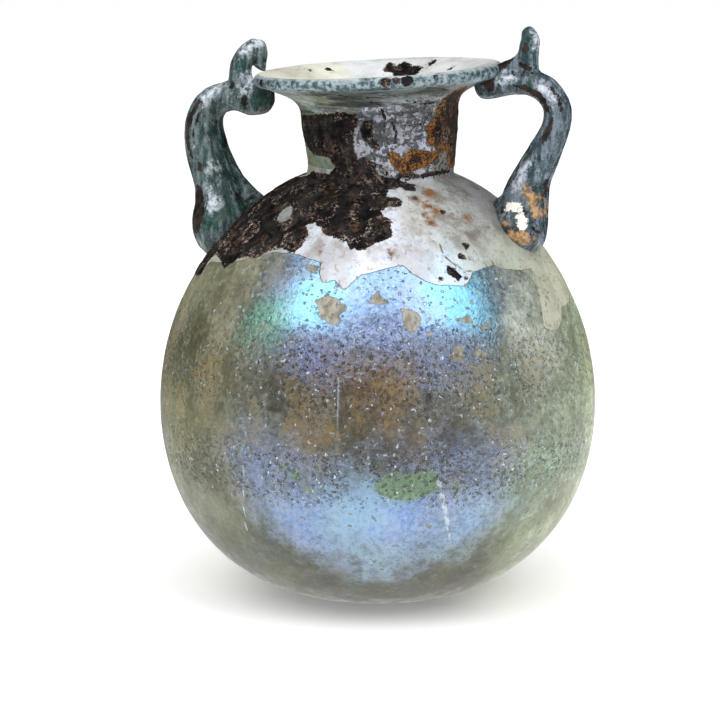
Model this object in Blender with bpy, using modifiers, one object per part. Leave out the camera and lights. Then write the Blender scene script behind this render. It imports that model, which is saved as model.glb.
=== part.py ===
"""Small globular glass oil flask (aryballos) with a funnel rim and two applied handles.

Metres, +Z up. The origin is the centre of the base, on the surface that the flask stands on.
Three pieces of glass: the flask is blown in one, and each handle is a trail of glass of its own,
dropped on the shoulder, drawn up, turned in under the rim and folded back up into a spur.
"""

import math

import bmesh
import bpy
from mathutils import Vector

# Flask, outside
BODY_RADIUS = 0.0273
EQUATOR_HEIGHT = 0.0237
BASE_RADIUS = 0.0081
NECK_ROOT_RADIUS = 0.0090
NECK_ROOT_HEIGHT = 0.0525
NECK_TOP_RADIUS = 0.0097
NECK_TOP_HEIGHT = 0.0606
RIM_RADIUS = 0.0154
RIM_HEIGHT = 0.06565
LIP_THICKNESS = 0.0016
RIM_TILT = math.radians(3.0)
NECK_OFFSET = 0.0004

# Walls and the pushed-in middle of the base
BODY_WALL = 0.0014
NECK_WALL = 0.0015
BASE_WALL = 0.0021
KICK_RADIUS = 0.0054
KICK_DEPTH = 0.0007

# How full the blown curves are, as shares of their own width or height
BELLY_SPREAD = 0.524
BELLY_LIFT = 0.037
BELLY_FULLNESS = 0.595
SHOULDER_FULLNESS = 0.508
SHOULDER_SPREAD = 0.434
SHOULDER_DROP = 0.097

# Handles: a foot's place is a share of the way from the root of the neck out to the widest place
HANDLE_PLANE = math.radians(-15.0)
RIGHT_FOOT_PLACE = 0.492
LEFT_FOOT_PLACE = 0.579
RIGHT_STRAND_WIDENING = 1.25
LEFT_STRAND_WIDENING = 1.45
FUSED_GAP = 0.0003

# Each handle is a strand with branches: the spur folded back up, the root spread on the shoulder and,
# on the right, a web that laps on the lip. A route's stations are (share of the way from the foot to
# the lip, outward, up, towards the front, radius): the three offsets are from that place on the way,
# and they and the radius are shares of the handle's rise from its foot to the lip.
RIGHT_STRAND = [
    (0.0, -0.052, -0.093, 0.047, 0.166),
    (0.0, 0.0, 0.0, 0.036, 0.187),
    (0.0, 0.021, 0.093, 0.021, 0.171),
    (0.2, 0.073, -0.021, 0.005, 0.153),
    (0.3, 0.130, 0.026, 0.0, 0.127),
    (0.5, 0.244, -0.005, 0.0, 0.106),
    (0.6, 0.327, 0.036, 0.0, 0.093),
    (0.7, 0.363, 0.052, 0.0, 0.091),
    (0.8, 0.348, 0.036, 0.0, 0.088),
    (0.9, 0.301, 0.0, 0.0, 0.086),
    (1.0, 0.218, -0.067, 0.0, 0.083),
    (1.0, 0.119, -0.073, 0.0, 0.080),
    (1.0, 0.026, -0.088, 0.0, 0.086),
    (1.0, -0.057, -0.104, 0.0, 0.083),
]
RIGHT_SPUR = [
    (1.0, 0.218, -0.052, 0.0, 0.078),
    (1.0, 0.218, 0.047, 0.0, 0.070),
    (1.0, 0.223, 0.135, 0.0, 0.067),
    (1.0, 0.234, 0.202, 0.0, 0.062),
    (1.0, 0.223, 0.244, 0.0, 0.049),
]
RIGHT_WEB = [
    (1.0, 0.021, 0.021, 0.0, 0.042),
    (1.0, 0.083, 0.026, 0.0, 0.044),
    (1.0, 0.145, 0.047, 0.0, 0.052),
    (1.0, 0.208, 0.083, 0.0, 0.057),
]
RIGHT_ROOT = [
    (0.3, 0.093, 0.104, 0.0, 0.057),
    (0.2, 0.0, 0.062, 0.010, 0.062),
    (0.1, -0.052, 0.073, 0.021, 0.062),
    (0.0, -0.135, 0.140, 0.031, 0.057),
]
LEFT_STRAND = [
    (0.0, -0.061, -0.061, 0.020, 0.168),
    (0.0, 0.0, 0.010, 0.020, 0.199),
    (0.0, 0.020, 0.102, 0.015, 0.199),
    (0.2, 0.082, 0.0, 0.005, 0.174),
    (0.3, 0.143, 0.031, 0.0, 0.151),
    (0.5, 0.255, 0.005, 0.0, 0.135),
    (0.6, 0.306, 0.046, 0.0, 0.123),
    (0.8, 0.347, -0.051, 0.0, 0.112),
    (0.8, 0.296, 0.031, 0.0, 0.102),
    (0.9, 0.245, -0.031, 0.0, 0.095),
    (1.0, 0.179, -0.117, 0.0, 0.102),
    (1.0, 0.082, -0.133, 0.0, 0.115),
    (1.0, 0.031, -0.133, 0.0, 0.107),
]
LEFT_SPUR = [
    (1.0, 0.158, -0.133, 0.026, 0.087),
    (1.0, 0.153, -0.046, 0.026, 0.077),
    (1.0, 0.153, 0.056, 0.026, 0.071),
    (1.0, 0.123, 0.143, 0.015, 0.061),
    (1.0, 0.077, 0.194, -0.010, 0.056),
    (1.0, 0.036, 0.189, -0.031, 0.049),
    (1.0, 0.036, 0.133, -0.046, 0.044),
    (1.0, 0.046, 0.077, -0.051, 0.044),
]
LEFT_ROOT = [
    (0.4, 0.153, 0.112, 0.0, 0.061),
    (0.3, 0.041, 0.041, 0.0, 0.071),
    (0.2, -0.051, 0.071, 0.005, 0.071),
    (0.1, -0.143, 0.112, 0.010, 0.071),
    (0.0, -0.245, 0.194, 0.015, 0.061),
]

# Fineness of the facets
TURNED_SEGMENTS = 48
STRAND_STATIONS = 30
BRANCH_STATIONS = 14
STRAND_BEVEL_RESOLUTION = 5
MERGE_DISTANCE = 0.00001


def clear_scene():
    for obj in list(bpy.data.objects):
        bpy.data.objects.remove(obj)


def new_collection(name):
    collection = bpy.data.collections.new(name)
    bpy.context.scene.collection.children.link(collection)
    return collection


def glass(name, colour, roughness):
    material = bpy.data.materials.new(name)
    material.use_nodes = True
    shader = material.node_tree.nodes["Principled BSDF"]
    shader.inputs["Base Color"].default_value = (*colour, 1.0)
    shader.inputs["Roughness"].default_value = roughness
    shader.inputs["Metallic"].default_value = 0.0
    shader.inputs["IOR"].default_value = 1.5
    return material


def bezier(points, count):
    """Evenly spaced values of a cubic Bezier curve, both ends included."""
    found = []
    for i in range(count):
        t = i / (count - 1)
        s = 1.0 - t
        weights = (s**3, 3 * t * s**2, 3 * t**2 * s, t**3)
        found.append(tuple(sum(w * p[k] for w, p in zip(weights, points)) for k in (0, 1)))
    return found


def belly_curve(radius, foot_radius, floor, count):
    """From the foot of the globe out to its widest place."""
    width = radius - foot_radius
    height = EQUATOR_HEIGHT - floor
    return bezier(
        [
            (foot_radius, floor),
            (foot_radius + BELLY_SPREAD * width, floor + BELLY_LIFT * height),
            (radius, EQUATOR_HEIGHT - BELLY_FULLNESS * height),
            (radius, EQUATOR_HEIGHT),
        ],
        count,
    )


def shoulder_curve(radius, root_radius, root_height, count):
    """From the widest place in to the root of the neck."""
    width = radius - root_radius
    height = root_height - EQUATOR_HEIGHT
    return bezier(
        [
            (radius, EQUATOR_HEIGHT),
            (radius, EQUATOR_HEIGHT + SHOULDER_FULLNESS * height),
            (root_radius + SHOULDER_SPREAD * width, root_height - SHOULDER_DROP * height),
            (root_radius, root_height),
        ],
        count,
    )


def neck_and_funnel(root_radius, root_height, top_radius, top_height, end, count):
    """Up the slightly widening neck, then out along the funnel to the lip."""
    straight = top_height - root_height
    swell = bezier(
        [
            (root_radius, root_height),
            (root_radius, root_height + 0.3 * straight),
            (top_radius, top_height - 0.3 * straight),
            (top_radius, top_height),
        ],
        3,
    )
    rise = end[1] - top_height
    flare = bezier(
        [
            (top_radius, top_height),
            (top_radius + 0.04 * (end[0] - top_radius), top_height + 0.5 * rise),
            (end[0] - 0.65 * (end[0] - top_radius), end[1] - 0.35 * rise),
            end,
        ],
        count,
    )
    return swell + flare[1:]


def outer_profile():
    """The flask's outside as (radius, height), from the base ring up to the underside of the lip."""
    lip_radius = LIP_THICKNESS / 2
    lip_start = (RIM_RADIUS - lip_radius, RIM_HEIGHT - LIP_THICKNESS)
    belly = belly_curve(BODY_RADIUS, BASE_RADIUS, 0.0, 11)
    shoulder = shoulder_curve(BODY_RADIUS, NECK_ROOT_RADIUS, NECK_ROOT_HEIGHT, 13)
    neck = neck_and_funnel(
        NECK_ROOT_RADIUS, NECK_ROOT_HEIGHT, NECK_TOP_RADIUS, NECK_TOP_HEIGHT, lip_start, 7
    )
    return belly + shoulder[1:] + neck[1:]


def inner_profile():
    """The flask's inside as (radius, height), from the floor up to the top of the lip."""
    lip_radius = LIP_THICKNESS / 2
    lip_end = (RIM_RADIUS - lip_radius, RIM_HEIGHT)
    root_radius = NECK_ROOT_RADIUS - NECK_WALL
    root_height = NECK_ROOT_HEIGHT - BODY_WALL / 2
    top_radius = NECK_TOP_RADIUS - NECK_WALL
    top_height = NECK_TOP_HEIGHT + NECK_WALL / 2
    belly = belly_curve(BODY_RADIUS - BODY_WALL, BASE_RADIUS, BASE_WALL, 8)
    shoulder = shoulder_curve(BODY_RADIUS - BODY_WALL, root_radius, root_height, 9)
    neck = neck_and_funnel(root_radius, root_height, top_radius, top_height, lip_end, 6)
    return belly + shoulder[1:] + neck[1:]


def lip_curve():
    """The rounded edge of the rim, from its top over the outside to its underside, ends left out."""
    radius = LIP_THICKNESS / 2
    centre = (RIM_RADIUS - radius, RIM_HEIGHT - radius)
    angles = [math.radians(a) for a in (54, 18, -18, -54)]
    return [(centre[0] + radius * math.cos(a), centre[1] + radius * math.sin(a)) for a in angles]


def eased(value, start, end):
    """0 before the start, 1 past the end, and a smooth step between them."""
    share = min(1.0, max(0.0, (value - start) / (end - start)))
    return share * share * (3.0 - 2.0 * share)


def lean(reach, height):
    """How far the neck and rim are raised at a reach along the handles' plane: they lean to the left."""
    return reach * math.tan(RIM_TILT) * eased(height, NECK_ROOT_HEIGHT, NECK_TOP_HEIGHT)


def drift(height):
    """How far the neck stands to the right of the body's axis at a height."""
    middle = (EQUATOR_HEIGHT + NECK_ROOT_HEIGHT) / 2
    gained = eased(height, middle, NECK_ROOT_HEIGHT)
    lost = eased(height, NECK_ROOT_HEIGHT, RIM_HEIGHT)
    return NECK_OFFSET * (gained - lost)


def turned_mesh(name, profile):
    """A closed solid turned from a profile that starts and ends on the axis, with the lean of the neck."""
    line = bpy.data.meshes.new(name + "_profile")
    corners = [(radius, 0.0, height) for radius, height in profile]
    line.from_pydata(corners, [(i, i + 1) for i in range(len(corners) - 1)], [])
    helper = bpy.data.objects.new(name + "_profile", line)
    bpy.context.scene.collection.objects.link(helper)
    screw = helper.modifiers.new("turn", "SCREW")
    screw.axis = "Z"
    screw.angle = 2.0 * math.pi
    screw.steps = TURNED_SEGMENTS
    screw.render_steps = TURNED_SEGMENTS
    screw.use_merge_vertices = True
    screw.merge_threshold = MERGE_DISTANCE
    graph = bpy.context.evaluated_depsgraph_get()
    mesh = bpy.data.meshes.new_from_object(helper.evaluated_get(graph))
    bpy.data.objects.remove(helper)
    for vertex in mesh.vertices:
        x, y, height = vertex.co
        reach = x * math.cos(HANDLE_PLANE) + y * math.sin(HANDLE_PLANE)
        vertex.co = (x + drift(height), y, height + lean(reach, height))
    mesh.name = name
    return mesh


def flask_mesh():
    floor_centre = (0.0, BASE_WALL + KICK_DEPTH)
    inside = [floor_centre, (KICK_RADIUS / 2, BASE_WALL + 0.7 * KICK_DEPTH)] + inner_profile()
    outside = list(reversed(outer_profile()))
    base = [(KICK_RADIUS, 0.0), (KICK_RADIUS / 2, 0.7 * KICK_DEPTH), (0.0, KICK_DEPTH)]
    return turned_mesh("flask", inside + lip_curve() + outside + base)


def grown(profile, distance):
    """A profile that runs up its outer side, moved outwards by a distance."""
    moved = []
    for i, (radius, height) in enumerate(profile):
        before = profile[max(i - 1, 0)]
        after = profile[min(i + 1, len(profile) - 1)]
        along = (after[0] - before[0], after[1] - before[1])
        length = math.hypot(*along)
        moved.append((radius + distance * along[1] / length, height - distance * along[0] / length))
    return moved


def clearance_mesh():
    """The filled outside of the flask, grown by the gap that the handles keep to it."""
    outline = outer_profile() + list(reversed(lip_curve()))
    outline.append((RIM_RADIUS - LIP_THICKNESS / 2, RIM_HEIGHT))
    outline = grown(outline, FUSED_GAP)
    below = (0.0, outline[0][1])
    above = (0.0, outline[-1][1])
    return turned_mesh("flask_clearance", [above] + list(reversed(outline)) + [below])


def shoulder_height(radius):
    """The height of the shoulder's outer surface at a distance from the axis."""
    curve = shoulder_curve(BODY_RADIUS, NECK_ROOT_RADIUS, NECK_ROOT_HEIGHT, 200)
    return min(curve, key=lambda point: abs(point[0] - radius))[1]


def blend(before, start, end, after, t):
    """One coordinate of a Catmull-Rom curve between its start and its end."""
    slope = (end - before) * t
    bend = (2 * before - 5 * start + 4 * end - after) * t**2
    twist = (3 * start - before - 3 * end + after) * t**3
    return 0.5 * (2 * start + slope + bend + twist)


def smooth_line(points, stations):
    """Even steps along a smooth curve through points of any number of coordinates."""
    padded = [points[0]] + points + [points[-1]]
    fine = []
    for four in zip(padded, padded[1:], padded[2:], padded[3:]):
        for step in range(20):
            fine.append(tuple(blend(*values, step / 20) for values in zip(*four)))
    fine.append(tuple(points[-1]))
    lengths = [0.0]
    for a, b in zip(fine, fine[1:]):
        lengths.append(lengths[-1] + math.dist(a[:3], b[:3]))
    line = []
    k = 0
    for i in range(stations):
        want = lengths[-1] * i / (stations - 1)
        while k < len(lengths) - 2 and lengths[k + 1] < want:
            k += 1
        t = (want - lengths[k]) / max(lengths[k + 1] - lengths[k], 1e-12)
        line.append(tuple(p + (q - p) * t for p, q in zip(fine[k], fine[k + 1])))
    return line


def rounded_end(line):
    """The line with a few more stations past its end, where the radius closes in a dome."""
    end = Vector(line[-1][:3])
    ahead = (end - Vector(line[-2][:3])).normalized()
    radius = line[-1][3]
    dome = []
    for angle in (30, 55, 75):
        turn = math.radians(angle)
        place = end + ahead * radius * math.sin(turn) * 0.8
        dome.append((*place, radius * math.cos(turn)))
    return line + dome


def route_in_space(route, foot, lip, side):
    """A handle's route as (x, y, z, radius). side is 1 for the right handle and -1 for the left one."""
    outward = Vector((math.cos(HANDLE_PLANE), math.sin(HANDLE_PLANE), 0.0)) * side
    front = Vector((math.sin(HANDLE_PLANE), -math.cos(HANDLE_PLANE), 0.0))
    rise = lip[1] - foot[1]
    points = []
    for share, out, up, aside, radius in route:
        reach = foot[0] + (lip[0] - foot[0]) * share + rise * out
        height = foot[1] + rise * (share + up)
        place = outward * reach + front * (rise * aside)
        points.append((place.x, place.y, height, rise * radius))
    return points


def trail_object(name, points, stations, collection):
    """A glass trail: a curve with a round section whose radius changes along it, made a closed mesh."""
    line = rounded_end(smooth_line(points, stations))
    curve = bpy.data.curves.new(name, "CURVE")
    curve.dimensions = "3D"
    curve.bevel_depth = 1.0
    curve.bevel_resolution = STRAND_BEVEL_RESOLUTION
    curve.use_fill_caps = True
    spline = curve.splines.new("POLY")
    spline.points.add(len(line) - 1)
    for point, (x, y, z, radius) in zip(spline.points, line):
        point.co = (x, y, z, 1.0)
        point.radius = radius
    helper = bpy.data.objects.new(name + "_curve", curve)
    collection.objects.link(helper)
    graph = bpy.context.evaluated_depsgraph_get()
    mesh = bpy.data.meshes.new_from_object(helper.evaluated_get(graph))
    bpy.data.objects.remove(helper)
    return as_object(name, welded(mesh), collection)


def welded(mesh):
    shape = bmesh.new()
    shape.from_mesh(mesh)
    bmesh.ops.remove_doubles(shape, verts=shape.verts, dist=MERGE_DISTANCE)
    bmesh.ops.recalc_face_normals(shape, faces=shape.faces)
    shape.to_mesh(mesh)
    shape.free()
    return mesh


def as_object(name, mesh, collection):
    obj = bpy.data.objects.new(name, mesh)
    collection.objects.link(obj)
    return obj


def as_helper(obj):
    obj.hide_render = True
    obj.display_type = "WIRE"


def boolean(obj, operation, other):
    modifier = obj.modifiers.new(operation.lower() + "_" + other.name, "BOOLEAN")
    modifier.operation = operation
    modifier.solver = "EXACT"
    modifier.object = other


def widened(obj, factor):
    """Widens a trail across the plane that both handles lie in, which flattens its section."""
    across = Vector((math.sin(HANDLE_PLANE), -math.cos(HANDLE_PLANE), 0.0))
    for vertex in obj.data.vertices:
        vertex.co += across * (vertex.co.dot(across) * (factor - 1.0))


def handle(name, strand, branches, foot_place, side, widening, clearance, material, parts, helpers):
    """One applied handle: its strand and branches, fused, and cut to the surface of the flask."""
    foot_radius = NECK_ROOT_RADIUS + foot_place * (BODY_RADIUS - NECK_ROOT_RADIUS)
    lip_reach = RIM_RADIUS - LIP_THICKNESS / 2
    lip = (lip_reach, RIM_HEIGHT - LIP_THICKNESS / 2 + lean(lip_reach * side, RIM_HEIGHT))
    foot = (foot_radius, shoulder_height(foot_radius))
    trail = trail_object(name, route_in_space(strand, foot, lip, side), STRAND_STATIONS, parts)
    widened(trail, widening)
    for branch_name, route in branches.items():
        points = route_in_space(route, foot, lip, side)
        branch = trail_object(name + "_" + branch_name, points, BRANCH_STATIONS, helpers)
        as_helper(branch)
        boolean(trail, "UNION", branch)
    boolean(trail, "DIFFERENCE", clearance)
    trail.data.materials.append(material)
    return trail


def smooth_shaded(obj, sharp_angle):
    obj.data.shade_smooth()
    obj.data.set_sharp_from_angle(angle=sharp_angle)


def build():
    clear_scene()
    parts = new_collection("glass_aryballos")
    helpers = new_collection("cutters")
    weathered_green = glass("weathered_green_glass", (0.30, 0.33, 0.20), 0.35)
    blue_green = glass("blue_green_glass", (0.10, 0.22, 0.21), 0.25)
    flask = as_object("flask", flask_mesh(), parts)
    flask.data.materials.append(weathered_green)
    clearance = as_object("flask_clearance", clearance_mesh(), helpers)
    as_helper(clearance)
    right = handle(
        "right_handle", RIGHT_STRAND, {"spur": RIGHT_SPUR, "web": RIGHT_WEB, "root": RIGHT_ROOT},
        RIGHT_FOOT_PLACE, 1, RIGHT_STRAND_WIDENING, clearance, blue_green, parts, helpers,
    )
    left = handle(
        "left_handle", LEFT_STRAND, {"spur": LEFT_SPUR, "root": LEFT_ROOT},
        LEFT_FOOT_PLACE, -1, LEFT_STRAND_WIDENING, clearance, blue_green, parts, helpers,
    )
    for obj in (flask, right, left):
        smooth_shaded(obj, math.radians(40))


build()
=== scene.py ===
import math

import bpy
import numpy as np
from mathutils import Euler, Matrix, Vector, noise
from mathutils.bvhtree import BVHTree


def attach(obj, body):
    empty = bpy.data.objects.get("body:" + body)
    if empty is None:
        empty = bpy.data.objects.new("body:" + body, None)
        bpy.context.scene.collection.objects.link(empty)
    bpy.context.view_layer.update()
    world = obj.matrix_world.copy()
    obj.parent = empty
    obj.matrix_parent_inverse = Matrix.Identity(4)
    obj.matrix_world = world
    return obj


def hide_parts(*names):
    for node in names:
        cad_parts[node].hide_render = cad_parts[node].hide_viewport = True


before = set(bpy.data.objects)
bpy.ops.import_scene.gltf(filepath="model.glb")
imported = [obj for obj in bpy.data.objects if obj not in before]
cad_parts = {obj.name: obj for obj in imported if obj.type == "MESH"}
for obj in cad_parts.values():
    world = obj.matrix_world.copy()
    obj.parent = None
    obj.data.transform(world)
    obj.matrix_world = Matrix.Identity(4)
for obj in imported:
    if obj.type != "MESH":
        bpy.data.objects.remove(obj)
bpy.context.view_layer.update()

# The flask
# Body, neck and funnel rim are one gather of pale green glass, blown thin, flattened under the base and
# opened out at the mouth. The sizes are the solid model's, in millimetres.
BODY_RADIUS, EQUATOR_HEIGHT, BASE_RADIUS = 27.3, 23.7, 8.1
NECK_ROOT_RADIUS, NECK_ROOT_HEIGHT = 9.0, 52.5
NECK_TOP_RADIUS, NECK_TOP_HEIGHT = 9.7, 60.6
RIM_RADIUS, RIM_HEIGHT, LIP_THICKNESS = 15.4, 65.65, 1.6
BODY_WALL, NECK_WALL, BASE_WALL = 1.4, 1.5, 2.1
KICK_RADIUS, KICK_DEPTH = 5.4, 0.7
BELLY_SPREAD, BELLY_LIFT, BELLY_FULLNESS = 0.524, 0.037, 0.595
SHOULDER_FULLNESS, SHOULDER_SPREAD, SHOULDER_DROP = 0.508, 0.434, 0.097
RIM_TILT = math.radians(3.0)
NECK_OFFSET = 0.4
HANDLE_PLANE = math.radians(-15.0)
MM = 0.001

COLUMNS = 360
OUTSIDE_ROWS = 190
INSIDE_ROWS = 52


def bezier(points, count=60):
    t = np.linspace(0.0, 1.0, count)[:, None]
    s = 1.0 - t
    p = np.array(points, float)
    return s**3 * p[0] + 3 * t * s**2 * p[1] + 3 * t**2 * s * p[2] + t**3 * p[3]


def belly(radius, foot, floor):
    width, height = radius - foot, EQUATOR_HEIGHT - floor
    out = (foot + BELLY_SPREAD * width, floor + BELLY_LIFT * height)
    up = (radius, EQUATOR_HEIGHT - BELLY_FULLNESS * height)
    return bezier([(foot, floor), out, up, (radius, EQUATOR_HEIGHT)])


def shoulder(radius, root, top):
    width, height = radius - root, top - EQUATOR_HEIGHT
    up = (radius, EQUATOR_HEIGHT + SHOULDER_FULLNESS * height)
    over = (root + SHOULDER_SPREAD * width, top - SHOULDER_DROP * height)
    return bezier([(radius, EQUATOR_HEIGHT), up, over, (root, top)])


def neck_and_funnel(root, root_height, top, top_height, end):
    straight, rise, flare = top_height - root_height, end[1] - top_height, end[0] - top
    neck = bezier(
        [(root, root_height), (root, root_height + 0.3 * straight),
         (top, top_height - 0.3 * straight), (top, top_height)]
    )
    funnel = bezier(
        [(top, top_height), (top + 0.04 * flare, top_height + 0.5 * rise),
         (end[0] - 0.65 * flare, end[1] - 0.35 * rise), end]
    )
    return np.vstack([neck, funnel[1:]])


def evenly(line, count):
    """The line with its points set at even steps, and the way along it at each of them."""
    way = np.concatenate([[0.0], np.cumsum(np.hypot(*np.diff(line, axis=0).T))])
    steps = np.linspace(0.0, way[-1], count)
    return np.column_stack([np.interp(steps, way, line[:, k]) for k in (0, 1)]), steps


lip = LIP_THICKNESS / 2
inner_root, inner_top = NECK_ROOT_RADIUS - NECK_WALL, NECK_TOP_RADIUS - NECK_WALL
inside = np.vstack([
    [(0.3, BASE_WALL + KICK_DEPTH), (KICK_RADIUS / 2, BASE_WALL + 0.7 * KICK_DEPTH)],
    belly(BODY_RADIUS - BODY_WALL, BASE_RADIUS, BASE_WALL),
    shoulder(BODY_RADIUS - BODY_WALL, inner_root, NECK_ROOT_HEIGHT - BODY_WALL / 2)[1:],
    neck_and_funnel(inner_root, NECK_ROOT_HEIGHT - BODY_WALL / 2, inner_top,
                    NECK_TOP_HEIGHT + NECK_WALL / 2, (RIM_RADIUS - lip, RIM_HEIGHT))[1:],
])
outside = np.vstack([
    [(0.3, KICK_DEPTH), (KICK_RADIUS / 2, 0.7 * KICK_DEPTH), (KICK_RADIUS, 0.0)],
    belly(BODY_RADIUS, BASE_RADIUS, 0.0),
    shoulder(BODY_RADIUS, NECK_ROOT_RADIUS, NECK_ROOT_HEIGHT)[1:],
    neck_and_funnel(NECK_ROOT_RADIUS, NECK_ROOT_HEIGHT, NECK_TOP_RADIUS, NECK_TOP_HEIGHT,
                    (RIM_RADIUS - lip, RIM_HEIGHT - LIP_THICKNESS))[1:],
    [(RIM_RADIUS - lip + lip * math.sin(a), RIM_HEIGHT - lip - lip * math.cos(a))
     for a in np.radians(np.arange(15, 180, 15))],
])
inside, _ = evenly(inside, INSIDE_ROWS)
outside, climb_steps = evenly(outside, OUTSIDE_ROWS)
profile = np.vstack([inside, outside[::-1]])
climb = np.concatenate([np.full(INSIDE_ROWS, -1.0), climb_steps[::-1]])
ROWS = len(profile)


def eased(value, start, end):
    share = np.clip((value - start) / (end - start), 0.0, 1.0)
    return share * share * (3.0 - 2.0 * share)


# The places of all corners, in millimetres, and where each is on the skin: azimuth in degrees (0 towards
# the front, + to the right), height, and the way climbed up the profile.
turn = np.linspace(0.0, 2 * math.pi, COLUMNS, endpoint=False)
radius = np.repeat(profile[:, 0], COLUMNS)
height = np.repeat(profile[:, 1], COLUMNS)
way = np.repeat(climb, COLUMNS)
angle = np.tile(turn, ROWS)
azimuth = np.degrees(np.arctan2(np.cos(angle), -np.sin(angle)))
skin = way >= 0.0


def climbed(z):
    """The way up the outside of the profile at a height."""
    rising = slice(np.argmax(outside[:, 0] >= KICK_RADIUS), None)
    return float(np.interp(z, outside[rising, 1], climb_steps[rising]))


MARK_REACH = 4.0


def signed_distance(outline, closed=True):
    """Millimetres inside an outline of (azimuth, height) places, or minus the distance to a line."""
    middle = (min(a for a, _ in outline) + max(a for a, _ in outline)) / 2
    az = (azimuth - middle + 180.0) % 360.0 - 180.0 + middle
    scale = radius * math.pi / 180.0
    places = [(a, climbed(z)) for a, z in outline]
    pairs = list(zip(places, places[1:] + places[:1])) if closed else list(zip(places, places[1:]))
    nearest = np.full(len(az), 99.0)
    within = np.zeros(len(az), bool)
    for (a0, s0), (a1, s1) in pairs:
        along_a, along_s = (a1 - a0) * scale, s1 - s0
        from_a, from_s = (az - a0) * scale, way - s0
        share = (from_a * along_a + from_s * along_s) / np.maximum(along_a**2 + along_s**2, 1e-9)
        share = np.clip(share, 0.0, 1.0)
        gap = np.hypot(from_a - share * along_a, from_s - share * along_s)
        nearest = np.minimum(nearest, gap)
        if closed and s1 != s0:
            crossing = a0 + (a1 - a0) * (way - s0) / (s1 - s0)
            within ^= ((s0 > way) != (s1 > way)) & (az < crossing)
    found = np.where(within, nearest, -nearest)
    return np.where(skin, np.clip(found, -MARK_REACH, MARK_REACH), -MARK_REACH)


def spot_distance(spots, inner=False):
    """The same for round spots of (azimuth, height, radius), on the outside or on the inside."""
    found = np.full(len(azimuth), -MARK_REACH)
    for a, z, size in spots:
        turned = (azimuth - a + 180.0) % 360.0 - 180.0
        rise = 1.6 * (height - z) if inner else way - climbed(z)
        gap = np.hypot(turned * radius * math.pi / 180.0, rise)
        found = np.maximum(found, np.where(skin != inner, size - gap, -MARK_REACH))
    return found


# The picture is 720 pixels each way, and it is seen from CAMERA_PLACE, in metres. What shows in it is given
# where it is seen, in pixels from the top left corner, and moved along the line of sight on to the glass.
PICTURE_PIXELS, AXIS_ASIDE_PIXELS = 720.0, 18.0
PICTURE_MIDDLE = PICTURE_PIXELS / 2
CAMERA_LENS, CAMERA_SENSOR = 140.0, 36.0
LENS_PIXELS = CAMERA_LENS / CAMERA_SENSOR * PICTURE_PIXELS
CAMERA_PLACE = (0.0, -0.3449, 0.09647)
CAMERA_DIP_DEGREES = 11.07
CAMERA_TURN = (math.radians(90.0 - CAMERA_DIP_DEGREES), 0.0, math.atan2(AXIS_ASIDE_PIXELS, LENS_PIXELS))
SIGHT_START, SIGHT_END, SIGHT_STEP = 290.0, 400.0, 0.01


def line_of_sight(x, y):
    """The direction from the camera through a point of the picture."""
    through = Vector((x - PICTURE_MIDDLE, PICTURE_MIDDLE - y, -LENS_PIXELS))
    return np.array((Euler(CAMERA_TURN).to_matrix() @ through).normalized())


def on_skin(x, y):
    """The azimuth and height where the sight first meets the skin, or passes it most closely."""
    away = np.arange(SIGHT_START, SIGHT_END + SIGHT_STEP, SIGHT_STEP)[:, None]
    path = np.array(CAMERA_PLACE) / MM + away * line_of_sight(x, y)
    rising = slice(np.argmax(outside[:, 0] >= KICK_RADIUS), None)
    skin_radius = np.interp(path[:, 2], outside[rising, 1], outside[rising, 0], left=0.0, right=0.0)
    gap = np.hypot(path[:, 0], path[:, 1]) - skin_radius
    across, along, up = path[np.argmax(gap < 0.0) if gap.min() < 0.0 else np.argmin(gap)]
    return round(math.degrees(math.atan2(across, -along)), 1), round(float(up), 1)


def seen(marks):
    """Marks on the skin, each given as x and y in the picture and any sizes of its own."""
    return [(*on_skin(x, y), *sizes) for x, y, *sizes in marks]


# Dark burial crust: it clings to the left of the shoulder and climbs the left third of the neck.
CRUST = seen([
    (308.4, 171.2), (294.6, 178.2),
]) + [
    (-92.9, 49.7), (-97, 46.4), (-97, 42.8), (-90, 39.8),
] + seen([
    (200, 276), (208, 262), (215, 254), (219, 258), (224, 268), (232, 262), (242, 257), (254, 258),
    (265, 252.5), (280, 249), (291.6, 253.5), (301, 246), (307, 233.4), (303, 226), (312.6, 223),
    (319, 228), (320, 234), (333.7, 239), (345, 243), (348, 249), (357.6, 251), (366, 248), (376, 242),
    (386, 239), (391.4, 234.4), (387, 228), (389, 220), (379.6, 216), (378.6, 211.4), (387, 206.6),
    (396.8, 208.5), (400.6, 202.8), (393, 198), (383.4, 198), (385, 191), (396.8, 188.4), (406.4, 192.3),
    (413, 192.3), (411, 184.6), (400.8, 181.7), (395, 178.9), (375.7, 175), (370, 164.5), (362, 157),
    (354.7, 158.8), (350.9, 147.3), (351.8, 134), (356.6, 122.4), (355.7, 113), (341.3, 111), (321.9, 112),
]) + [
    (-80.9, 60.5), (-85.8, 57.7),
] + seen([
    (310.7, 153), (326, 157), (332.7, 166.4), (328, 173), (320, 173),
])
CRUST_BEHIND = [
    (-90.0, 53.0), (-90.0, 42.0), (-104.0, 44.5), (-118.0, 43.0), (-131.0, 46.0), (-140.0, 45.0),
    (-152.0, 48.5), (-160.0, 52.5), (-150.0, 56.0), (-135.0, 54.0), (-120.0, 58.0), (-104.0, 54.0),
]
CRUST_CHIP = seen([
    (287.7, 206.6), (290.6, 209.5), (286.8, 220), (280, 223), (274.5, 221), (278.2, 212.4),
])
NECK_PATCH = seen([
    (360.4, 121.5), (372, 119.6), (372.9, 126.3), (370, 133.9), (374.8, 141.6), (378.6, 145.4),
    (376.7, 150.2), (370, 148.3), (362.4, 141.6), (357.6, 132),
])
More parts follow.
